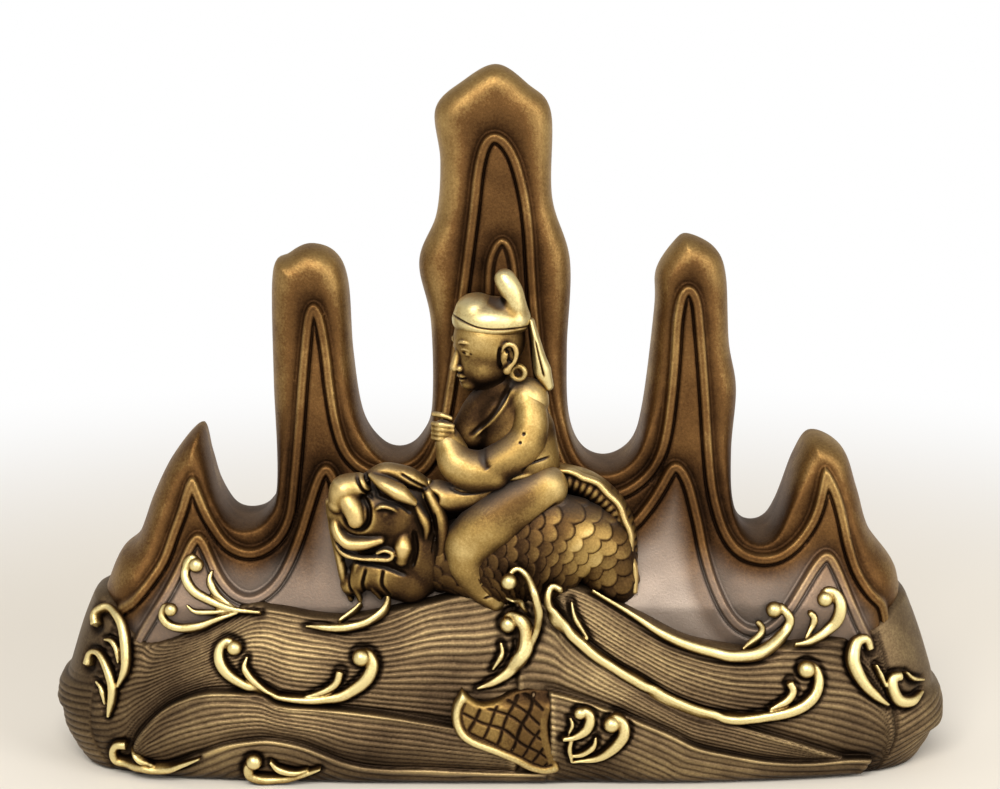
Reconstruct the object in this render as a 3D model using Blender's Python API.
# A cast bronze brush rest: five mountain peaks stand in a collar of waves,
# and a boy rides a dragon-headed carp across the front.
# Sizes are millimetres. +X is right and -Y is the front, as seen by the user, and +Z is up.

import math

import bmesh
import bpy
import numpy as np
from mathutils import Vector
from mathutils.geometry import delaunay_2d_cdt
from mathutils.kdtree import KDTree

MM = 0.001

# Fits
BRAZE_GAP = 0.3          # film of braze between two castings
PEG_RADIUS = 1.4         # locating peg cast on the back of an applied piece
PEG_LENGTH = 2.2         # how far a peg goes into the mountain or the collar
PEG_ROOT = 2.0           # and how far it runs into its own piece
PEG_SIDES = 10

# Wave collar: how far it stands out round the mountain's plug, at the ends and at the sides
FOOT_END_WALL = 4.0      # at the table
FOOT_SIDE_WALL = 4.8
BULGE_END_WALL = 7.5     # at the swell of the waves
BULGE_SIDE_WALL = 6.8
BULGE_HEIGHT = 8.0
LIP_END_WALL = 2.5       # at the height of the seam
LIP_SIDE_WALL = 3.6
PLAN_POWER = 3.2         # a rounded rectangle in plan
RING_POINTS = 100
WALL_LEVELS = 14
WATER_EDGE = 1.2         # a sheet of water rises from the one under it within this width
LIP_INSET = 2.2          # the top of the waves rolls in towards the mountain
LIP_RISE = 1.1

# Mountain
PEAK_HEIGHT = 105.0      # top of the middle peak
SEAM_HEIGHT = 26.0       # the waves close round the mountain here
SHOULDER = 4.0           # a crest that runs over the seam eases down to the mountain within this height
SKIRT_HALF_DEPTH = 10.6  # mountain at the seam
TIP_HALF_DEPTH = 4.4     # mountain far above the seam
FLARE_HEIGHT = 24.0      # height over which the skirt thins
PLUG_HALF_WIDTH = 59.5
PLUG_TAPER = 0.8         # draft of the plug that wedges into the collar
PLUG_BOTTOM = 1.0        # the plug stays clear of the table
PLUG_SHOULDER = 8.0      # the plug's sides are straight up to this far below the seam
CUT_PAST = 2.0           # cutters run this far through the table's plane
LAYER_STEP = 0.75        # each inner range stands this proud of the one outside it
LAYER_BEAD = 0.3         # has a bead this high along its edge
LAYER_DITCH = 0.45       # and a hollow this deep outside it
LAYER_EDGE = 0.7         # half width of that bead
RIM_RADIUS = 3.0         # rounding of the peaks' edges
END_RIM_RADIUS = 11.0    # and of the two ends of the skirt, which the collar closes round
END_START = 48.0         # the ends begin this far from the middle
END_FADE = 8.0
RIM_FADE = 9.0
GRID = 6.5               # spacing of points on the open surfaces
CORE_WALL = 3.2          # metal left in front of and behind the casting's core
CORE_HALF_DEPTH = 6.2    # widest the core gets

# The seam line, as x and height, front and back, from the left end to the right end
SEAM_FRONT = [(-62, 23), (-52, 20), (-46, 22), (-39, 26), (-24, 24.5), (-14, 26), (4, 30.5), (12, 29.5),
              (21, 25), (30, 20.8), (38, 19.8), (48, 21), (62, 20)]
SEAM_BACK = [(-62, 23), (-48, 20.5), (-36, 25), (-22, 21.5), (-4, 27.5), (10, 26), (24, 21.5), (38, 25.5),
             (50, 21), (62, 20)]

# Sheets of water over the collar's wall, each over the one before: its top edge, the line that it runs out on,
# where it starts and ends, how proud its edge is and how much more its middle swells
FRONT_WATER = [
    ([(-58, 21), (-52.8, 19.7), (-44, 22.6), (-36, 26.2), (-22.8, 24.4), (-10.3, 27.9), (4, 30.5)],
     [(-58, 2), (-53.3, 7.2), (-46.5, 13.2), (-35.4, 14), (-25.1, 12.1), (-6, 9.4), (4, 9)], (-56.3, 5), 0.25, 0.5),
    ([(4, 29.6), (14.4, 28.6), (20.3, 25.3), (27.5, 21.6), (34.8, 20), (43.7, 20.7), (51, 20.3), (57, 15),
      (58.8, 3)],
     [(4, 28), (10.4, 23.4), (20.4, 15.6), (32, 10.3), (44, 6.4), (55, 2.6), (58.8, 2.2)], (4.5, 58), 0.4, 0.5),
    ([(1, 27), (8, 26.9), (14.6, 19.7), (20.4, 15.9), (26.4, 12.5), (38, 8.7), (50, 4.5), (55, 2.8)],
     [(1, 14.6), (7.5, 14.6), (16, 12), (24.9, 8.3), (35.1, 4.6), (46.8, 3), (55, 2.4)], (2.5, 55.5), 0.75, 0.45),
    ([(-57, 1.2), (-53.3, 7.2), (-46.5, 13.5), (-39, 14.6), (-32, 12.9), (-16.3, 11.5), (0, 9)],
     [(-57, 0.6), (-49.6, 2.6), (-40.7, 6), (-33.3, 7.1), (-22.4, 3.4), (-10.2, 2.4), (0, 2)], (-56.4, -3.2),
     1.0, 0.75),
    ([(-57, 1), (-49.6, 3.1), (-40.7, 6.7), (-33.3, 7.8), (-22.4, 4.1), (-10.2, 3.1), (0, 2.6)],
     [(-57, -3.6), (-40.7, 2.1), (-33.3, 3.2), (-22.4, -0.5), (0, -2)], (-56.6, -3.2), 1.2, 0.3),
    ([(7, 15.2), (16, 12.5), (24.9, 8.8), (35.1, 5.1), (46.8, 3.5), (56.5, 3.3)],
     [(7, 3.8), (16, 1.1), (24.9, -2.6), (35.1, -6.3), (56.5, -8)], (7.5, 56.2), 1.1, 0.55),
]
BACK_WATER = [
    ([(-60, 21), (-48, 20.5), (-36, 25), (-22, 21.5), (-4, 27.5), (10, 26), (24, 21.5), (38, 25.5), (50, 21),
      (60, 20)],
     [(-60, 7), (-48, 12), (-36, 11), (-22, 8), (-4, 10), (10, 13), (24, 11), (38, 8), (60, 6)], (-58, 58),
     0.25, 0.5),
    ([(-60, 3), (-50, 12.4), (-42, 14.2), (-34, 13), (-22, 9), (-12, 7), (-4, 6)],
     [(-60, 1), (-50, 3), (-42, 5), (-34, 6), (-22, 4.6), (-4, 2.4)], (-57, -5), 0.85, 0.7),
    ([(-12, 7.6), (-4, 10.4), (6, 13.6), (16, 13.2), (28, 10.4), (40, 8.4), (50, 8.2), (60, 5)],
     [(-12, 3), (-4, 3.6), (6, 5.4), (16, 6), (28, 4.4), (40, 3), (60, 1)], (-10, 57), 0.85, 0.7),
    ([(-60, 1.2), (-50, 3.4), (-42, 5.4), (-34, 6.4), (-22, 5), (-12, 3.4), (-4, 3.8), (6, 5.7), (16, 6.3),
      (28, 4.8), (40, 3.4), (60, 1.2)],
     [(-60, -5), (-34, -0.2), (-12, -3), (16, -0.3), (60, -5)], (-57, 57), 1.15, 0.3),
]

# The mountain's silhouette from the left seam over the five peaks to the right seam
SKYLINE = [(-59.5, 27), (-57.4, 31.8), (-54.5, 34.6), (-52, 41), (-49, 46.8), (-44.8, 51.3), (-43.4, 46.5),
           (-42.2, 41.5), (-40.2, 37.9), (-37.6, 37.2), (-35, 38.6), (-33.4, 43), (-33.8, 58), (-33.7, 74.3),
           (-31.4, 77), (-28.3, 78.5), (-24.6, 77.3), (-22.6, 73), (-21.9, 62), (-20.5, 52.5), (-17.8, 48),
           (-14.8, 47), (-12, 49), (-10.2, 54), (-10.3, 67), (-12, 76), (-9.4, 83), (-8.8, 91), (-9.5, 98.5),
           (-5.5, 102.5), (-0.5, 105), (4.2, 102), (7.5, 98), (7.7, 85.5), (10.4, 76), (10, 63), (10.3, 53),
           (12.4, 47.3), (16.1, 45.6), (19.8, 48), (21.4, 54), (23, 69), (23.2, 74.6), (26, 79), (27.9, 80),
           (31.8, 78), (33.5, 74), (34.1, 64), (35.3, 57), (34.7, 48), (34.9, 40.5), (36.8, 35.9), (39.7, 35.3),
           (41.8, 38.2), (44.2, 46.2), (46.8, 50), (51.4, 47.8), (53.6, 42), (55.6, 35.6), (59.4, 30.4), (60.4, 27)]
# Foot of the outer range and of the inner range, drawn inside the silhouette
OUTER_RANGE = [(-58.5, 20), (-56.5, 26), (-52.6, 30), (-49.1, 36.7), (-45.5, 45.6), (-41.6, 37.5), (-37, 34),
               (-32.5, 37.5), (-31, 46), (-29.3, 68), (-27.6, 70.9), (-25.6, 67.5), (-24.2, 58), (-22.3, 49.3),
               (-17.5, 45), (-12, 45.6), (-8.5, 53), (-6.1, 72.7), (-4.2, 88.5), (-1, 95.7), (2.4, 93),
               (5.3, 80), (6.4, 63), (9, 49.5), (14, 43.2), (19.5, 43.8), (23.5, 50), (25.4, 68), (27.4, 73.4),
               (29.6, 71), (31.2, 54), (32.4, 41.5), (36, 34.2), (41, 33.8), (45.8, 39), (47.8, 46.5),
               (50.2, 42.5), (52.5, 34.3), (55.5, 28), (58.5, 20)]
INNER_RANGE = [(-55.5, 18), (-51, 27), (-45, 36.9), (-42.2, 33), (-39.6, 28.8), (-35.5, 28.4), (-31.8, 33),
               (-27.9, 44.8), (-25.8, 47.2), (-23, 43), (-14, 37), (0, 35), (15, 35.5), (22, 41.8), (25.8, 47.3),
               (29, 42.5), (31.8, 31), (36, 23.8), (40.5, 24.4), (47.8, 34.2), (50.6, 31.5), (54, 24), (57, 18)]
# Outline of the core that leaves the casting hollow: it rises into the three tall peaks and the two low ones
CORE = [(-52, 20), (-48.5, 30.5), (-45.6, 38), (-43.2, 31.4), (-38, 30), (-33, 32.4), (-29.8, 42), (-28, 66),
        (-25.8, 42), (-19.6, 40.6), (-11.4, 41), (-6.6, 50), (-5.6, 72), (-1, 91), (3.6, 74), (6.2, 52),
        (10.6, 40), (20, 40.4), (25.4, 48), (28, 67), (30.6, 44), (33, 31), (38.4, 29.4), (42.4, 31.4),
        (46.6, 39.6), (50.4, 30.6), (52, 20)]

# The points above are drawn for one width of plug and one height of peak, and follow both
ALONG = PLUG_HALF_WIDTH / -SKYLINE[0][0]
UP = PEAK_HEIGHT / max(z for x, z in SKYLINE)

BRONZE = {
    "bronze_patina": ((0.115, 0.078, 0.042), 0.42),
    "bronze_wave": ((0.150, 0.100, 0.052), 0.40),
    "bronze_bright": ((0.520, 0.390, 0.170), 0.30),
    "bronze_skin": ((0.560, 0.430, 0.200), 0.32),
}


def material(slot):
    """One bronze finish, as a metal with its own colour and polish."""
    made = bpy.data.materials.get(slot)
    if made is None:
        colour, roughness = BRONZE[slot]
        made = bpy.data.materials.new(slot)
        made.use_nodes = True
        shader = made.node_tree.nodes["Principled BSDF"]
        shader.inputs["Base Color"].default_value = (*colour, 1)
        shader.inputs["Metallic"].default_value = 1.0
        shader.inputs["Roughness"].default_value = roughness
    return made


def spline(points, steps):
    """A smooth run through the points, with the same number of steps between each two."""
    ends = [np.array(points[0]) * 2 - np.array(points[1])]
    tail = [np.array(points[-1]) * 2 - np.array(points[-2])]
    run = ends + [np.array(p, float) for p in points] + tail
    smooth = []
    for a, b, c, d in zip(run, run[1:], run[2:], run[3:]):
        for t in np.arange(steps) / steps:
            smooth.append(0.5 * (2 * b + (c - a) * t + (2 * a - 5 * b + 4 * c - d) * t ** 2
                                 + (3 * b - a - 3 * c + d) * t ** 3))
    smooth.append(run[-2])
    return np.array(smooth)


def drawn(points):
    """Points of the front view, from the drawing's size to the casting's."""
    return np.array(points, float) * (ALONG, UP)


def spread_over(values, count):
    """The values stretched evenly over a number of places."""
    return np.interp(np.linspace(0, 1, count), np.linspace(0, 1, len(values)), values)


def placed(x, y, z):
    """A point of the figure: y is counted from the front of the mountain's skirt."""
    return np.array([x * ALONG, y * UP - SKIRT_HALF_DEPTH, z * UP])


def height_at(line, x):
    """Height of a seam line at x."""
    run = drawn(spline(line, 4))
    return float(np.interp(x, run[:, 0], run[:, 1]))


def distance_to(line, points):
    """Distance from each point to a run of straight pieces."""
    a, b = line[:-1], line[1:]
    along = b - a
    best = np.full(len(points), 1e9)
    for start, way in zip(a, along):
        t = np.clip((points - start) @ way / max(way @ way, 1e-9), 0, 1)
        best = np.minimum(best, np.linalg.norm(points - start - t[:, None] * way, axis=1))
    return best


def is_inside(loop, points):
    """Which points lie inside a closed loop."""
    inside = np.zeros(len(points), bool)
    for (x0, z0), (x1, z1) in zip(loop, np.roll(loop, -1, axis=0)):
        crosses = (z0 > points[:, 1]) != (z1 > points[:, 1])
        if z0 != z1:
            inside ^= crosses & (points[:, 0] < (x1 - x0) * (points[:, 1] - z0) / (z1 - z0) + x0)
    return inside


def eased(t):
    """A smooth step from 0 to 1."""
    t = np.clip(t, 0, 1)
    return t * t * (3 - 2 * t)


def new_object(name, points, faces, slot):
    """A mesh object from points in millimetres, with its faces turned outwards."""
    mesh = bpy.data.meshes.new(name)
    mesh.from_pydata([tuple(float(c) * MM for c in p) for p in points], [], faces)
    work = bmesh.new()
    work.from_mesh(mesh)
    bmesh.ops.recalc_face_normals(work, faces=work.faces)
    work.to_mesh(mesh)
    work.free()
    mesh.materials.append(material(slot))
    mesh.shade_smooth()
    mesh.set_sharp_from_angle(angle=math.radians(40))
    made = bpy.data.objects.new(name, mesh)
    bpy.context.scene.collection.objects.link(made)
    return made


def hide(cutter):
    """Keeps a cutter or a guide out of the model."""
    cutter.hide_render = True
    cutter.display_type = "WIRE"
    return cutter


def boolean(body, other, operation, solver="EXACT"):
    """Adds one cut or join, with the other shape kept as a hidden guide."""
    change = body.modifiers.new(operation.lower(), "BOOLEAN")
    change.operation = operation
    change.solver = solver
    change.object = hide(other)


def peg(name, x, y, z, length, radius):
    """A round peg that points back from y."""
    work = bmesh.new()
    bmesh.ops.create_cone(work, cap_ends=True, segments=PEG_SIDES, radius1=radius, radius2=radius, depth=length)
    points = [(x + v.co.x, y + length / 2 + v.co.z, z - v.co.y) for v in work.verts]
    faces = [tuple(v.index for v in f.verts) for f in work.faces]
    work.free()
    return new_object(name, points, faces, "bronze_patina")


def fused(name, shapes, slot):
    """One object from overlapping shapes, joined for good."""
    body = shapes[0]
    for other in shapes[1:]:
        boolean(body, other, "UNION")
    view = bpy.context.evaluated_depsgraph_get()
    mesh = bpy.data.meshes.new_from_object(body.evaluated_get(view))
    for shape in shapes:
        bpy.data.objects.remove(shape)
    mesh.materials.clear()
    mesh.materials.append(material(slot))
    made = bpy.data.objects.new(name, mesh)
    bpy.context.scene.collection.objects.link(made)
    return made


def limb(name, path, widths, depths, slot="bronze_bright", sides=8, grow=0.0):
    """A lofted limb: rings of an ellipse along a path, round at both ends.

    The path holds x, y and z. Widths lie in the front view and depths run front to back.
    """
    path = np.array([placed(*p) for p in path])
    widths = spread_over(widths, len(path)) * UP + grow
    depths = spread_over(depths, len(path)) * UP + grow
    ways = np.gradient(path, axis=0)
    ways /= np.linalg.norm(ways, axis=1)[:, None]
    spots = [(path[0] - ways[0] * widths[0] * 0.75, ways[0], widths[0] * 0.55, depths[0] * 0.55)]
    spots += list(zip(path, ways, widths, depths))
    spots += [(path[-1] + ways[-1] * widths[-1] * 0.75, ways[-1], widths[-1] * 0.55, depths[-1] * 0.55)]
    points = []
    for place, way, width, depth in spots:
        side = np.array([way[2], 0, -way[0]])
        side /= np.linalg.norm(side)
        for k in range(sides):
            turn = 2 * math.pi * k / sides
            points.append(place + side * width * math.cos(turn) + np.array([0, depth * math.sin(turn), 0]))
    faces = []
    for ring in range(len(spots) - 1):
        for k in range(sides):
            a, b = ring * sides + k, ring * sides + (k + 1) % sides
            faces += [(a, b, b + sides), (a, b + sides, a + sides)]
    last = (len(spots) - 1) * sides
    faces.append(tuple(range(sides)))
    faces.append(tuple(last + k for k in reversed(range(sides))))
    return new_object(name, points, faces, slot)


def ball(name, centre, radii, slot="bronze_bright", grow=0.0, segments=12, rings=8):
    """A squashed ball."""
    work = bmesh.new()
    bmesh.ops.create_uvsphere(work, u_segments=segments, v_segments=rings, radius=1.0)
    points = [Vector([c + v.co[i] * (radii[i] * UP + grow) for i, c in enumerate(placed(*centre))])
              for v in work.verts]
    faces = [tuple(v.index for v in f.verts) for f in work.faces]
    work.free()
    return new_object(name, points, faces, slot)


def pillow(name, outline, back, front, crown, slot, grow=0.0):
    """A plate with the given outline whose front rises to a crown in its middle."""
    rim = drawn(outline)
    middle = rim.mean(axis=0)
    if grow:
        out = rim - middle
        rim = rim + out / np.linalg.norm(out, axis=1)[:, None] * grow
    inner = middle + (rim - middle) * 0.62
    core = middle + (rim - middle) * 0.25
    levels = [(rim, back + grow), (rim, front), (inner, front - crown * 0.75 - grow), (core, front - crown - grow)]
    points = [(x, y, z) for ring, y in levels for x, z in ring]
    count = len(rim)
    faces = [(r * count + k, r * count + (k + 1) % count, (r + 1) * count + (k + 1) % count, (r + 1) * count + k)
             for r in range(len(levels) - 1) for k in range(count)]
    faces.append(tuple(range(count)))
    faces.append(tuple(reversed(range(3 * count, 4 * count))))
    return new_object(name, points, faces, slot)


# Wave collar

def swell(z, foot, bulge, lip):
    """The collar's wall at a height: out to the swell, then in to the lip."""
    if z <= BULGE_HEIGHT:
        return foot + (bulge - foot) * math.sin(math.pi / 2 * z / BULGE_HEIGHT)
    share = (z - BULGE_HEIGHT) / (SEAM_HEIGHT - BULGE_HEIGHT)
    return bulge + (lip - bulge) * min(share, 1.2) ** 1.6


def collar_half_width(z):
    return PLUG_HALF_WIDTH + swell(z, FOOT_END_WALL, BULGE_END_WALL, LIP_END_WALL)


def collar_half_depth(z):
    return SKIRT_HALF_DEPTH + swell(z, FOOT_SIDE_WALL, BULGE_SIDE_WALL, LIP_SIDE_WALL)


def collar_surface(x, z):
    """How far the collar's front stands from the middle plane."""
    share = min(abs(x) / collar_half_width(z), 1.0)
    return collar_half_depth(z) * (1 - share ** PLAN_POWER) ** (1 / PLAN_POWER)


def even_ring():
    """Evenly spaced places round the back half of the collar: how far east and how far north each lies."""
    turns = np.linspace(0, math.pi, 2001)
    east = np.sign(np.cos(turns)) * np.abs(np.cos(turns)) ** (2 / PLAN_POWER)
    north = np.sin(turns) ** (2 / PLAN_POWER)
    wide, deep = collar_half_width(BULGE_HEIGHT), collar_half_depth(BULGE_HEIGHT)
    run = np.r_[0, np.cumsum(np.hypot(np.diff(east) * wide, np.diff(north) * deep))]
    at = np.linspace(0, run[-1], RING_POINTS // 2 + 1)
    return np.interp(at, run, east), np.interp(at, run, north)


RING_EAST, RING_NORTH = even_ring()
FRONT, BACK = -1, 1


def seam_tops(side):
    """Height of the seam over each place of the ring."""
    line = drawn(spline(SEAM_BACK if side == BACK else SEAM_FRONT, 4))
    return np.interp(RING_EAST * collar_half_width(SEAM_HEIGHT), line[:, 0], line[:, 1])


def water_relief(side):
    """How far the sheets of water stand out from the plain wall, for each place of the ring and each level."""
    x = (RING_EAST * collar_half_width(BULGE_HEIGHT))[:, None]
    z = seam_tops(side)[:, None] * np.linspace(0, 1, WALL_LEVELS + 1)
    relief = np.zeros(z.shape)
    for top, foot, (start, end), lift, roll in (BACK_WATER if side == BACK else FRONT_WATER):
        top, foot = drawn(spline(top, 4)), drawn(spline(foot, 4))
        above = np.interp(x, top[:, 0], top[:, 1])
        share = (above - z) / np.maximum(above - np.interp(x, foot[:, 0], foot[:, 1]), 0.4)
        inside = np.minimum(above - z, np.minimum(x - start * ALONG, end * ALONG - x))
        covers = eased(inside / WATER_EDGE + 0.5)
        own = lift + roll * np.sin(math.pi * np.clip(share * 0.9 + 0.12, 0, 1))
        relief = relief * (1 - covers) + own * covers
    return relief * eased(z / WATER_EDGE)


TOPS = {side: seam_tops(side) for side in (FRONT, BACK)}
WATER = {side: water_relief(side) for side in (FRONT, BACK)}


def water_at(x, z, side):
    """The relief of the water between the places where it was worked out."""
    place = float(np.interp(-x / collar_half_width(z), -RING_EAST, np.arange(len(RING_EAST))))
    k = min(int(place), len(RING_EAST) - 2)
    part = place - k
    top = TOPS[side][k] * (1 - part) + TOPS[side][k + 1] * part
    height = min(max(z / top, 0), 1) * WALL_LEVELS
    level = min(int(height), WALL_LEVELS - 1)
    corner = WATER[side][k:k + 2, level:level + 2]
    return float(np.array([1 - part, part]) @ corner @ np.array([1 - height + level, height - level]))


def collar_blank(name, grow=0.0):
    """The collar's outer shape, solid, up to the seam line."""
    half = RING_POINTS // 2
    points = []
    for level in range(WALL_LEVELS + 2):
        inset, rise = (LIP_INSET, LIP_RISE) if level > WALL_LEVELS else (0, 0)
        for k in range(RING_POINTS):
            side, spot = (BACK, k) if k <= half else (FRONT, RING_POINTS - k)
            top = TOPS[side][spot] + grow
            z = (top + grow) * min(level, WALL_LEVELS) / WALL_LEVELS - grow
            out = grow - inset + WATER[side][spot, min(level, WALL_LEVELS)]
            points.append((RING_EAST[spot] * (collar_half_width(max(z, 0)) + out),
                           side * RING_NORTH[spot] * (collar_half_depth(max(z, 0)) + out), z + rise))
    faces = []
    for level in range(WALL_LEVELS + 1):
        for k in range(RING_POINTS):
            a, b = level * RING_POINTS + k, level * RING_POINTS + (k + 1) % RING_POINTS
            faces.append((a, b, b + RING_POINTS, a + RING_POINTS))
    for base in (0, (WALL_LEVELS + 1) * RING_POINTS):
        faces.append((base, base + 1, base + RING_POINTS - 1))
        for k in range(1, half - 1):
            faces.append((base + k, base + k + 1, base + RING_POINTS - k - 1, base + RING_POINTS - k))
        faces.append((base + half - 1, base + half, base + half + 1))
    return new_object(name, points, faces, "bronze_wave")


# Mountain

SKYLINE_RUN = drawn(spline(SKYLINE, 2))
OUTER_RUN = drawn(spline(OUTER_RANGE, 2))
INNER_RUN = drawn(spline(INNER_RANGE, 2))


def closed_below(run):
    """A range's line closed under the seam, to tell what lies inside it."""
    return np.vstack([run, [(run[-1][0], -PEAK_HEIGHT), (run[0][0], -PEAK_HEIGHT)]])


def plain_half_depth(z):
    """Half thickness of the mountain before its ranges are added."""
    z = np.asarray(z, float)
    flare = np.exp(-(z - SEAM_HEIGHT) / FLARE_HEIGHT)
    above = TIP_HALF_DEPTH + (SKIRT_HALF_DEPTH - TIP_HALF_DEPTH) * flare
    below = SKIRT_HALF_DEPTH - PLUG_TAPER * (SEAM_HEIGHT - z) / SEAM_HEIGHT
    return np.where(z > SEAM_HEIGHT, above, below)


def mountain_half_depth(points):
    """Half thickness of the mountain at points in the front view, ranges and rounded rim included."""
    x, z = points.T
    low = np.exp(-np.maximum(z - SEAM_HEIGHT, 0) / RIM_FADE) * eased((np.abs(x) - END_START) / END_FADE)
    radius = RIM_RADIUS + (END_RIM_RADIUS - RIM_RADIUS) * low
    rim = 0.62 - 0.34 * low
    deep = -PEAK_HEIGHT
    sides = np.vstack([[(-PLUG_HALF_WIDTH, deep)], SKYLINE_RUN, [(PLUG_HALF_WIDTH, deep)]])
    edge = np.minimum(distance_to(sides, points) / radius, 1)
    half = plain_half_depth(z) * (rim + (1 - rim) * np.sqrt(1 - (1 - edge) ** 2))
    shown = eased((z - SEAM_HEIGHT + 10) / 6) * eased(edge)
    for run in (OUTER_RUN, INNER_RUN):
        inside = distance_to(run, points) * np.where(is_inside(closed_below(run), points), 1, -1)
        half += shown * LAYER_STEP * eased(0.5 + inside / LAYER_EDGE / 2)
        half += shown * LAYER_BEAD * np.maximum(1 - np.abs(inside / LAYER_EDGE - 1), 0)
        half -= shown * LAYER_DITCH * np.maximum(1 - np.abs(inside / LAYER_EDGE + 1) / 1.5, 0)
    return half


def mountain_front(x, z):
    return float(mountain_half_depth(np.array([(x, z)]))[0])


def spread(points, least):
    """Drops points that crowd an earlier one."""
    tree = KDTree(len(points))
    for n, (x, z) in enumerate(points):
        tree.insert((x, z, 0), n)
    tree.balance()
    kept = np.ones(len(points), bool)
    for n, (x, z) in enumerate(points):
        for _, other, _ in tree.find_range((x, z, 0), least):
            if kept[n] and other < n and kept[other]:
                kept[n] = False
    return points[kept]


def slab(name, outline, inner, half_depth, grow=0.0, lines=()):
    """A closed shape, alike at front and back, over an outline in the front view and points inside it.

    Lines are runs of points that its facets keep to.

    Grown, it keeps its facets and moves them outwards, and its foot goes down through the table.
    """
    count = len(outline)
    flat = [Vector(p) for p in np.vstack([outline, inner, *lines])]
    edges = []
    start = count + len(inner)
    for line in lines:
        edges += [(start + k, start + k + 1) for k in range(len(line) - 1)]
        start += len(line)
    spots, _, triangles, first, _, _ = delaunay_2d_cdt(flat, edges, [list(range(count))], 1, 1e-5)
    spots = np.array([tuple(p) for p in spots])
    half = half_depth(spots) + grow
    place = {source: n for n, sources in enumerate(first) for source in sources}
    rim = [place[n] for n in range(count)]
    if grow:
        ways = np.roll(outline, -1, axis=0) - np.roll(outline, 1, axis=0)
        ways /= np.linalg.norm(ways, axis=1)[:, None]
        spots[rim] += np.stack([-ways[:, 1], ways[:, 0]], axis=1) * grow
        spots[rim[:2], 1] = -CUT_PAST
    total = len(spots)
    points = [(x, -h, z) for (x, z), h in zip(spots, half)] + [(x, h, z) for (x, z), h in zip(spots, half)]
    faces = [tuple(t) for t in triangles] + [tuple(total + i for i in reversed(t)) for t in triangles]
    faces += [(a, b, total + b, total + a) for a, b in zip(rim, rim[1:] + rim[:1])]
    return new_object(name, points, faces, "bronze_patina")


def mountain_blank(name, grow=0.0):
    """The mountain from the foot of its plug to the peaks, solid."""
    foot = PLUG_HALF_WIDTH - PLUG_TAPER
    shoulder = SEAM_HEIGHT - PLUG_SHOULDER
    outline = np.vstack([[(foot, PLUG_BOTTOM), (-foot, PLUG_BOTTOM), (-PLUG_HALF_WIDTH, shoulder)],
                         SKYLINE_RUN, [(PLUG_HALF_WIDTH, shoulder)]])
    walls = np.vstack([outline[1:], outline[:1]])
    ways = np.gradient(walls, axis=0)
    inward = np.stack([ways[:, 1], -ways[:, 0]], axis=1) / np.linalg.norm(ways, axis=1)[:, None]
    rows = []
    for share in (0.28, 1.0):
        step = RIM_RADIUS * share
        row = walls + inward * step
        fits = is_inside(outline, row) & (distance_to(walls, row) > step * 0.97) & (row[:, 1] > PLUG_BOTTOM + 1)
        rows.append(row[fits])
    rows.append(np.array([(x, z) for z in np.arange(PLUG_BOTTOM + GRID, PEAK_HEIGHT, GRID)
                          for x in np.arange(-PLUG_HALF_WIDTH, PLUG_HALF_WIDTH, GRID)]))
    inner = spread(np.vstack(rows), LAYER_EDGE)
    inner = inner[is_inside(outline, inner) & (distance_to(walls, inner) > RIM_RADIUS * 0.25)
                  & (inner[:, 1] > PLUG_BOTTOM + 1)]
    lines = []
    for run in (OUTER_RUN, INNER_RUN):
        inner = inner[distance_to(run, inner) > LAYER_EDGE * 2]
        way = np.gradient(run, axis=0)
        side = np.stack([-way[:, 1], way[:, 0]], axis=1) / np.linalg.norm(way, axis=1)[:, None]
        for offset in (-LAYER_EDGE, 0, LAYER_EDGE):
            line = run + side * offset
            lines.append(line[distance_to(run, line) >= abs(offset) * 0.9])
    return slab(name, outline, inner, mountain_half_depth, grow, lines)


def core(name):
    """The core that leaves the casting hollow, open at the foot of the plug."""
    run = drawn(spline(CORE, 2))
    outline = np.vstack([[(run[-1][0], -CUT_PAST), (run[0][0], -CUT_PAST)], run])
    inner = np.array([(x, z) for z in np.arange(GRID, PEAK_HEIGHT, GRID)
                      for x in np.arange(-PLUG_HALF_WIDTH, PLUG_HALF_WIDTH, GRID)])
    inner = inner[is_inside(outline, inner) & (distance_to(outline, inner) > LAYER_EDGE)]
    return slab(name, outline, inner,
                lambda at: np.clip(plain_half_depth(at[:, 1]) - CORE_WALL, 1, CORE_HALF_DEPTH))


def ground(x, z, side=-1):
    """The y of the surface that an applied piece sits on, easing from the collar up to the mountain."""
    above = z - height_at(SEAM_FRONT if side < 0 else SEAM_BACK, x)
    on_collar = collar_surface(x, z) + water_at(x, z, side)
    on_mountain = mountain_front(x, z)
    return side * (on_mountain + (on_collar - on_mountain) * (1 - float(eased(above / SHOULDER))))


# Wave crests. Each stroke is a list of x and z with its half widths from tip to root and, where it rides over
# the fish, how far it is lifted. Each bead is x, z, radius and lift.

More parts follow.
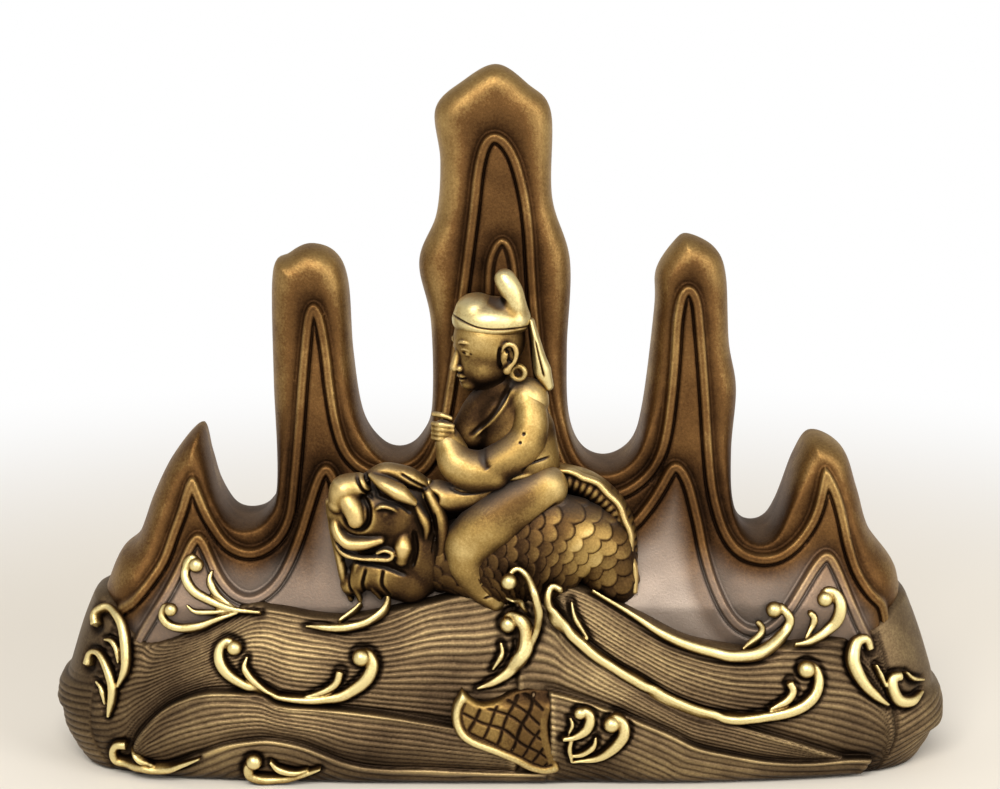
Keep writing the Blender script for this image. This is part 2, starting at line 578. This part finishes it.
CRESTS = {
    "crest_left_pair": {
        "strokes": [
            ([(-45.2, 33.2), (-46.4, 32.2), (-46.3, 30.2), (-44.6, 28.2), (-41.5, 26.6), (-36, 25.6)], (0.7, 1.0, 0.6)),
            ([(-42.5, 31.2), (-42.6, 29.6), (-41.3, 27.7), (-39.2, 26.2)], (0.3, 0.7, 0.4)),
            ([(-49.3, 26.3), (-50.1, 25.2), (-49, 23.5), (-46.6, 22.8), (-43.4, 23.6), (-38.4, 25.9)], (0.6, 0.9, 0.6)),
            ([(-46.3, 26.2), (-44.6, 25.3), (-41.2, 24.6)], (0.3, 0.6, 0.4)),
        ],
        "beads": [(-44.9, 32.2, 1.1), (-48.6, 25.8, 1.0)],
    },
    "crest_far_left": {
        "strokes": [
            ([(-60.3, 23.3), (-58.6, 24.9), (-56.4, 23.9), (-55.2, 20.8), (-55.4, 17), (-57.4, 13.4)], (0.6, 0.9, 0.5)),
            ([(-61.4, 17), (-60.3, 18.7), (-58.8, 17.7), (-57.6, 14.8), (-57.8, 11), (-58.2, 9)], (0.6, 0.9, 0.4)),
        ],
        "beads": [],
    },
    "crest_left_long": {
        "strokes": [
            ([(-39.8, 21.8), (-41.2, 20.4), (-41, 18.4), (-38.6, 16), (-34, 14.1), (-29, 13.3), (-24, 13.7),
              (-20.6, 15.6), (-18.8, 18.2), (-19.6, 20.3)], (0.7, 1.0, 0.8, 1.1, 0.9)),
            ([(-37.2, 19.4), (-37.3, 17.6), (-35.4, 14.8)], (0.3, 0.7, 0.5)),
            ([(-23.4, 17.2), (-24.4, 15.6), (-26.8, 13.6)], (0.4, 0.7, 0.5)),
        ],
        "beads": [(-39.3, 21.2, 1.2), (-20.6, 20, 1.3)],
    },
    "crest_chin": {
        "strokes": [
            ([(-18, 29.6), (-16.6, 28.6), (-17, 26.6), (-19.6, 24.8), (-23, 23.8), (-28, 23.7)], (0.5, 0.8, 0.6)),
            ([(-20.7, 26.8), (-21.9, 25.6), (-24.6, 23.9)], (0.3, 0.6, 0.5)),
        ],
        "beads": [],
        "solver": "MANIFOLD",
        "under": ["fish_head"],
    },
    "crest_knee": {
        "strokes": [
            ([(2, 33.8), (4.2, 33), (5.4, 29.6), (5.2, 25), (3.8, 20.8), (1.2, 17.4)], (0.6, 0.8, 0.7, 0.5),
             (5.6, 4.6, 1, 0)),
            ([(1.4, 25.6), (3.2, 25), (3.8, 22.4), (2.6, 19.2), (0.4, 17.2), (-2, 16.8)], (0.9, 1.3, 0.9, 0.4)),
            ([(1.2, 29.6), (3, 28.8), (5, 25.4)], (0.4, 0.6, 0.4), (2.4, 0)),
        ],
        "beads": [(1.9, 33, 1.1, 5.4)],
        "under": ["fish_body", "boy_leg", "fish_tail"],
    },
    "crest_right_long": {
        "strokes": [
            ([(9, 30.8), (7.7, 29.6), (8, 26.8), (10.4, 23.6), (14.6, 19.8), (20.4, 16.2), (26.4, 12.8), (32, 10.9),
              (38, 10.7), (43.8, 12), (46.6, 14.4), (46.8, 17.2)], (0.6, 0.8, 0.9, 1.0, 1.0, 0.8), (3, 0, 0, 0)),
            ([(11.2, 27.6), (11.3, 25.4), (12.8, 21.6)], (0.3, 0.7, 0.5)),
            ([(42.6, 15.8), (42.4, 14.2), (40.2, 11.2)], (0.4, 0.7, 0.5)),
        ],
        "beads": [(9.4, 30.2, 1.1, 3), (45.6, 17.6, 1.2)],
        "solver": "MANIFOLD",
        "under": ["fish_body", "boy_leg"],
    },
    "crest_upper_right": {
        "strokes": [
            ([(17.4, 26.8), (23.9, 22.9), (29.8, 20.6), (36, 19.6), (40.6, 21), (42.9, 23.8), (42, 26)],
             (0.5, 0.7, 0.9, 1.1, 0.8)),
            ([(38.7, 23.4), (38, 21.9), (35.4, 19.8)], (0.4, 0.7, 0.5)),
        ],
        "beads": [(40.8, 25.8, 1.2)],
        "under": ["fish_body", "fish_dorsal_fin"],
    },
    "crest_right_pair": {
        "strokes": [
            ([(48.6, 28.6), (50.2, 27.2), (50, 24.6), (47.9, 22.3), (44.8, 21)], (0.8, 1.1, 0.5)),
            ([(46, 25.6), (46.4, 23.7), (45.2, 21.2)], (0.4, 0.6, 0.4)),
        ],
        "beads": [(47.7, 27.9, 1.2)],
    },
    "crest_right_end": {
        "strokes": [
            ([(54.1, 21.2), (52.5, 21.2), (51.9, 18.4), (53.3, 15.3), (58.6, 11.8)], (0.8, 1.1, 0.6)),
            ([(59.9, 15.6), (58.2, 15), (58.3, 12.9), (60, 11.3), (62.8, 12.2)], (0.6, 1.1, 0.5)),
        ],
        "beads": [],
    },
    "crest_foot_left": {
        "strokes": [
            ([(-55.8, 6), (-57.5, 5.2), (-57.5, 3.3), (-55.2, 2.3), (-51, 2.1), (-47, 3)], (0.6, 0.9, 0.6)),
            ([(-54.4, 4.9), (-53.2, 3.5), (-51.6, 2.7)], (0.3, 0.6, 0.5)),
        ],
        "beads": [],
    },
    "crest_foot_middle": {
        "strokes": [
            ([(-36.4, 4.6), (-37.1, 3), (-36, 1.6), (-33, 1.3), (-30, 1.9), (-27.4, 3)], (1.0, 0.9, 0.5)),
            ([(-33.8, 4.2), (-32.4, 2.9), (-30.4, 2.4)], (0.4, 0.6, 0.4)),
        ],
        "beads": [(-36.2, 4.3, 1.1)],
    },
    "crest_tail": {
        "strokes": [
            ([(16.2, 11.3), (17.9, 10.6), (18, 8.4), (16, 6.4), (13, 5), (10, 4.6)], (0.9, 1.0, 0.4)),
            ([(11.7, 12.6), (13.1, 11.7), (12.6, 9.6), (10.2, 4.8)], (0.8, 0.9, 0.5)),
        ],
        "beads": [(15.9, 10.7, 1.1)],
        "under": ["fish_tail"],
    },
}
BACK_CRESTS = {
    "crest_back_left": {
        "strokes": [
            ([(-38.6, 24.6), (-40, 23.2), (-39.6, 20.6), (-36.6, 17.8), (-31, 15.8), (-25, 15.2)], (0.7, 1.0, 0.8, 0.5)),
            ([(-35.4, 22), (-35.4, 19.8), (-33.2, 16.4)], (0.3, 0.7, 0.5)),
        ],
        "beads": [(-38.2, 23.8, 1.2)],
    },
    "crest_back_middle": {
        "strokes": [
            ([(-15.6, 20.6), (-17, 19), (-16.4, 16.6), (-13, 14), (-6, 12.4), (2, 12.6), (7, 14.6), (9.4, 17.4),
              (9, 19.6)], (0.7, 1.0, 0.8, 1.0, 0.8)),
            ([(-12.6, 18), (-12.4, 16.2), (-9.8, 13.2)], (0.3, 0.7, 0.5)),
        ],
        "beads": [(-15.2, 19.9, 1.2), (7.8, 19.2, 1.2)],
    },
    "crest_back_right": {
        "strokes": [
            ([(36.8, 25), (38.6, 23.8), (38.8, 21), (36.4, 18), (31, 15.6), (25, 14.8)], (0.7, 1.0, 0.8, 0.5)),
            ([(34.2, 22), (34.4, 20), (32.4, 16.2)], (0.3, 0.7, 0.5)),
        ],
        "beads": [(36.4, 24.2, 1.2)],
    },
}
CREST_BREADTH = 1.25     # all strokes are broadened by this much
CREST_RELIEF = 1.3       # how proud a crest stands, for each millimetre of its half width
CREST_SHOULDER = 0.45    # the share of that height which its edge has
CREST_ROOT = 2.5         # how deep a crest reaches before it is fitted to its seat
BEAD_POINTS = 10


def nearest_share(stroke, points):
    """For each point: its distance to a stroke over the half width there, that half width, and the lift."""
    run, widths, lifts = stroke
    best = np.full(len(points), 1e9)
    wide = np.zeros(len(points))
    lift = np.zeros(len(points))
    for k in range(len(run) - 1):
        way = run[k + 1] - run[k]
        t = np.clip((points - run[k]) @ way / max(way @ way, 1e-9), 0, 1)
        here = widths[k] + (widths[k + 1] - widths[k]) * t
        share = np.linalg.norm(points - run[k] - t[:, None] * way, axis=1) / here
        nearer = share < best
        wide = np.where(nearer, here, wide)
        lift = np.where(nearer, lifts[k] + (lifts[k + 1] - lifts[k]) * t, lift)
        best = np.minimum(best, share)
    return best, wide, lift


def without_pinches(triangles, shares):
    """The triangles that strokes cover, filled in where two strokes would touch at one point only."""
    kept = set(np.flatnonzero(shares < 0.98))
    while True:
        rim = {}
        sides = {(a, b) for n in kept for a, b in zip(triangles[n], triangles[n][1:] + triangles[n][:1])}
        for a, b in sides:
            if (b, a) not in sides:
                rim[a] = rim.get(a, 0) + 1
        pinched = {a for a, count in rim.items() if count > 1}
        if not pinched:
            return [triangles[n] for n in sorted(kept)]
        near = [n for n in range(len(triangles)) if n not in kept and pinched & set(triangles[n])]
        kept.add(min(near, key=lambda n: shares[n]))


def crest(name, shape, side=-1):
    """One spray of a wave: tapering strokes that curl over a bead, seated on collar and mountain."""
    strokes = []
    flat = []
    edges = []
    for path, widths, *lifts in shape["strokes"]:
        run = drawn(spline(path, 2))
        widths = spread_over(widths, len(run)) * CREST_BREADTH * UP
        strokes.append((run, widths, spread_over(lifts[0] if lifts else (0, 0), len(run)) * UP))
        ways = np.gradient(run, axis=0)
        ways /= np.linalg.norm(ways, axis=1)[:, None]
        across = np.stack([-ways[:, 1], ways[:, 0]], axis=1) * widths[:, None]
        ends = [run[0] - ways[0] * widths[0], run[-1] + ways[-1] * widths[-1]]
        loop = np.vstack([run + across, ends[1:], (run - across)[::-1], ends[:1]])
        edges += [(len(flat) + k, len(flat) + (k + 1) % len(loop)) for k in range(len(loop))]
        flat += list(loop)
        edges += [(len(flat) + k, len(flat) + k + 1) for k in range(len(run) - 1)]
        flat += list(run)
    for x, z, radius, *lift in shape["beads"]:
        x, z, radius = x * ALONG, z * UP, radius * UP
        lift = lift[0] * UP if lift else 0
        strokes.append((np.array([(x - 0.01, z), (x + 0.01, z)]), [radius] * 2, [lift] * 2))
        turns = [2 * math.pi * k / BEAD_POINTS for k in range(BEAD_POINTS)]
        edges += [(len(flat) + k, len(flat) + (k + 1) % BEAD_POINTS) for k in range(BEAD_POINTS)]
        flat += [(x + radius * math.cos(t), z + radius * math.sin(t)) for t in turns]
        flat += [(x + radius * 0.5 * math.cos(t), z + radius * 0.5 * math.sin(t)) for t in turns[::2]]
    spots, _, triangles, _, _, _ = delaunay_2d_cdt([Vector(p) for p in flat], edges, [], 0, 0.02)
    spots = np.array([tuple(p) for p in spots])
    middles = np.array([spots[list(t)].mean(axis=0) for t in triangles])
    shares = np.min([nearest_share(stroke, middles)[0] for stroke in strokes], axis=0)
    triangles = without_pinches(triangles, shares)

    high = np.zeros(len(spots))
    lifted = np.zeros(len(spots))
    for stroke in strokes:
        share, wide, lift = nearest_share(stroke, spots)
        dome = CREST_SHOULDER + (1 - CREST_SHOULDER) * np.sqrt(np.clip(1 - share ** 2, 0, 1))
        high = np.maximum(high, np.where(share < 1.1, lift + wide * CREST_RELIEF * dome, 0))
        lifted = np.maximum(lifted, np.where(share < 1.1, lift, 0))
    seat = np.array([ground(x, z, side) for x, z in spots])
    front = seat + side * high
    back = seat + side * (lifted - CREST_ROOT)
    total = len(spots)
    points = [(x, y, z) for (x, z), y in zip(spots, front)] + [(x, y, z) for (x, z), y in zip(spots, back)]
    faces = [tuple(t) for t in triangles] + [tuple(total + i for i in reversed(t)) for t in triangles]
    sides = {}
    for t in triangles:
        for a, b in zip(t, t[1:] + t[:1]):
            sides[(a, b)] = True
    faces += [(b, a, total + a, total + b) for a, b in sides if (b, a) not in sides]
    used = sorted({i for f in faces for i in f})
    place = {old: new for new, old in enumerate(used)}
    faces = [tuple(place[i] for i in f) for f in faces]
    return new_object(name, [points[i] for i in used], faces, "bronze_bright")


# Carp with a dragon's head

def fish_body(grow=0.0):
    path = [(-8, -0.6, 33.5), (0, -0.8, 33.8), (8, -0.6, 35.4), (14, 0, 34.2), (17, -0.4, 30)]
    return limb("fish_body", path, (5, 7.4, 8.4, 6, 3.4), (4.6, 5.4, 5.4, 4.4, 3), "bronze_patina", 12, grow)


def fish_fin(grow=0.0):
    outline = [(8.6, 47.2), (12.6, 46), (16.4, 43.6), (18.8, 39.6), (19.8, 34), (20.2, 28.4), (18, 28.2), (17.6, 34),
               (15.8, 38.8), (12.6, 42), (8.6, 43.6)]
    seat = -SKIRT_HALF_DEPTH
    return pillow("fish_dorsal_fin", outline, seat + 5.6, seat - 0.2, 0.9, "bronze_patina", grow)


def fish_head(grow=0.0):
    slot = "bronze_skin"
    skull = ball("skull", (-15.5, -1, 37.6), (8.2, 5.8, 8.6), slot, grow)
    snout = limb("snout", [(-17, -1.6, 41), (-20.5, -2, 41.5), (-22.6, -1.8, 43.6)], (4.4, 3.4, 2.8),
                 (4.6, 3.8, 3.2), slot, 10, grow)
    lip = limb("lip", [(-15, -2, 35.6), (-19.5, -2, 35.2), (-23.2, -1.6, 38.6)], (3.4, 2.6, 1.6),
               (4.2, 3.4, 2.4), slot, 10, grow)
    jaw = limb("jaw", [(-15, -0.6, 31), (-19.6, -0.8, 30.6), (-21.8, -0.6, 29)], (4.2, 3, 1.6), (4, 3, 2), slot,
               10, grow)
    brow = limb("brow", [(-18.6, -2.8, 47.2), (-15, -3.8, 45.4), (-11.4, -3.4, 44.4)], (0.8, 1.5, 1.2),
                (1.6, 2.4, 1.8), slot, 8, grow)
    cheek = ball("cheek", (-14.2, -4.4, 36.8), (3, 3, 3), slot, grow, 10, 8)
    eye = ball("eye", (-16.7, -5.6, 42.9), (1.5, 1.6, 1.5), slot, grow, 8, 6)
    nostril = ball("nostril", (-22.8, -2.8, 44.8), (2.2, 2.6, 2.2), slot, grow, 10, 8)
    return fused("fish_head", [skull, snout, lip, jaw, brow, cheek, eye, nostril], slot)


def fish_tail(grow=0.0):
    outline = [(-5.6, 15.8), (-7, 13.2), (-7.1, 10.6), (-6, 8.2), (-3.6, 6.7), (-0.2, 5.9), (2.7, 4.1), (5.4, 2.2),
               (8.6, 2.6), (8.6, 5.6), (7.6, 9), (8.4, 12.6), (9, 14.4), (6.4, 15.6), (2.4, 15.6), (-1.4, 14.6)]
    seat = -SKIRT_HALF_DEPTH - BULGE_SIDE_WALL
    return pillow("fish_tail", outline, seat + 5.4, seat - 0.6, 0.8, "bronze_bright", grow)


# Boy

def boy_robe(grow=0.0):
    chest = limb("boy_robe", [(4.2, 1, 43.8), (3.4, 0.6, 48), (1.8, 0.4, 53), (0.6, 1, 58), (0, 1.2, 60.6)],
                 (4.6, 5.2, 6.6, 5.6, 2.6), (3.6, 4.4, 4.6, 3.8, 2.6), "bronze_skin", 12, grow)
    return chest


def boy_leg(grow=0.0):
    path = [(5.2, -2.8, 43.6), (1.6, -3.4, 41.4), (-2.6, -3.6, 38), (-4.6, -3.4, 34.6), (-3.4, -3.2, 31),
            (0, -3, 28.6)]
    return limb("boy_leg", path, (2.8, 3.6, 3.9, 3.7, 3.2, 1.8), (3.2, 3.6, 3.6, 3.4, 2.8, 1.8),
                "bronze_skin", 12, grow)


def boy_sleeve(grow=0.0):
    path = [(4.6, -2.4, 58.2), (4, -3, 54.4), (0.8, -3.4, 50.4), (-3.2, -3.6, 48.4), (-6.2, -3.4, 48.6)]
    return limb("boy_sleeve", path, (2, 3, 3.4, 3.5, 3), (2.4, 3, 3.4, 3.4, 2.8), "bronze_skin", 12, grow)


def boy_cuff(grow=0.0):
    path = [(-9.6, -1.8, 44.6), (-7, -2.2, 44), (-3, -2, 44.4), (0.6, -1.4, 46)]
    return limb("boy_cuff", path, (2.1, 1.9, 1.7, 1.2), (2.2, 2.2, 2, 1.4), "bronze_skin", 10, grow)


def boy_hands(grow=0.0):
    return fused("boy_hands", [
        ball("fist", (-9, -1.2, 55.2), (1.9, 2.2, 2), "bronze_skin", grow, 10, 6),
        ball("wrist", (-7.9, -1.4, 52.6), (1.9, 2.2, 2), "bronze_skin", grow, 10, 6)], "bronze_skin")


def boy_head(grow=0.0):
    return fused("boy_head", [
        ball("skull", (-1.6, 0.8, 65.2), (6, 5.6, 6.4), "bronze_skin", grow, 14, 10),
        ball("ear", (0.7, -3.6, 64.6), (1.2, 1.3, 1.8), "bronze_skin", grow, 8, 6)], "bronze_skin")


def boy_cap(grow=0.0):
    crown = ball("crown", (-1.1, 0.8, 70.6), (6.1, 5.4, 4.2), "bronze_bright", grow, 14, 8)
    horn = limb("horn", [(1.6, -0.4, 71), (2.3, -0.8, 74), (1.4, -0.8, 76.6), (0.2, -0.4, 77.6)],
                (2.4, 1.5, 1.1, 0.8), (3, 2, 1.5, 1), "bronze_bright", 8, grow)
    return fused("boy_cap", [crown, horn], "bronze_bright")


def boy_ribbon(grow=0.0):
    path = [(5, 1, 67), (5.8, 0.6, 63.4), (6.6, 0.4, 60.4)]
    return limb("boy_ribbon", path, (0.8, 1, 1.5), (1.4, 1.6, 1.6), "bronze_bright", 8, grow)


def boy_earring(grow=0.0):
    return ball("boy_earring", (2.9, -2, 62), (1.3, 1.4, 1.3), "bronze_bright", grow, 10, 6)


# Each applied piece with the neighbours that it is fitted over, and where its pegs go: x, z, and into what
FITTED = [
    (fish_body, [], [(2, 33.6, "mountain"), (13, 35, "mountain")]),
    (fish_fin, ["fish_body"], []),
    (fish_head, ["fish_body"], [(-15.5, 38.5, "mountain")]),
    (fish_tail, [], [(1, 10.5, "wave_collar")]),
    (boy_robe, ["fish_body", "fish_dorsal_fin", "fish_head"], [(2.4, 50, "mountain")]),
    (boy_leg, ["fish_body", "fish_head", "boy_robe"], []),
    (boy_head, ["boy_robe"], [(-1.4, 65.2, "mountain")]),
    (boy_cap, ["boy_head"], []),
    (boy_ribbon, ["boy_head", "boy_cap", "boy_robe"], []),
    (boy_earring, ["boy_head", "boy_robe", "boy_ribbon"], []),
    (boy_sleeve, ["boy_robe", "boy_head", "boy_ribbon", "boy_leg", "fish_head"], []),
    (boy_hands, ["boy_robe", "boy_sleeve"], []),
    (boy_cuff, ["boy_sleeve", "boy_robe", "boy_leg", "fish_head", "fish_body"], []),
]


def main():
    for old in list(bpy.data.objects):
        bpy.data.objects.remove(old)

    mountain = mountain_blank("mountain")
    boolean(mountain, core("mountain_core"), "DIFFERENCE")
    collar = collar_blank("wave_collar")
    boolean(collar, mountain_blank("socket_cutter", BRAZE_GAP), "DIFFERENCE")
    hosts = {"mountain": mountain, "wave_collar": collar}

    mountain_cutter = hide(mountain_blank("mountain_cutter", BRAZE_GAP))
    collar_cutter = hide(collar_blank("collar_cutter", BRAZE_GAP))

    cutters = {}
    for build, neighbours, pegs in FITTED:
        piece = build()
        name = piece.name
        cutters[name] = build(BRAZE_GAP)
        cutters[name].name = name + "_cutter"
        hide(cutters[name])
        boolean(piece, mountain_cutter, "DIFFERENCE")
        boolean(piece, collar_cutter, "DIFFERENCE")
        for neighbour in neighbours:
            boolean(piece, cutters[neighbour], "DIFFERENCE")
        for n, (x, z, host) in enumerate(pegs):
            x, z = drawn((x, z))
            seat = ground(x, z)
            length = PEG_ROOT + PEG_LENGTH
            pin = peg(f"{name}_peg_{n}", x, seat - PEG_ROOT, z, length, PEG_RADIUS)
            hole = peg(f"{name}_hole_{n}", x, seat - PEG_ROOT, z, length + BRAZE_GAP, PEG_RADIUS + BRAZE_GAP)
            boolean(piece, pin, "UNION")
            boolean(hosts[host], hole, "DIFFERENCE")

    for name, shape in CRESTS.items():
        piece = crest(name, shape)
        solver = shape.get("solver", "EXACT")
        for neighbour in shape.get("under", []):
            boolean(piece, cutters[neighbour], "DIFFERENCE", solver)
        boolean(piece, mountain_cutter, "DIFFERENCE", solver)
        boolean(piece, collar_cutter, "DIFFERENCE", solver)
    for name, shape in BACK_CRESTS.items():
        piece = crest(name, shape, side=1)
        boolean(piece, mountain_cutter, "DIFFERENCE")
        boolean(piece, collar_cutter, "DIFFERENCE")


main()
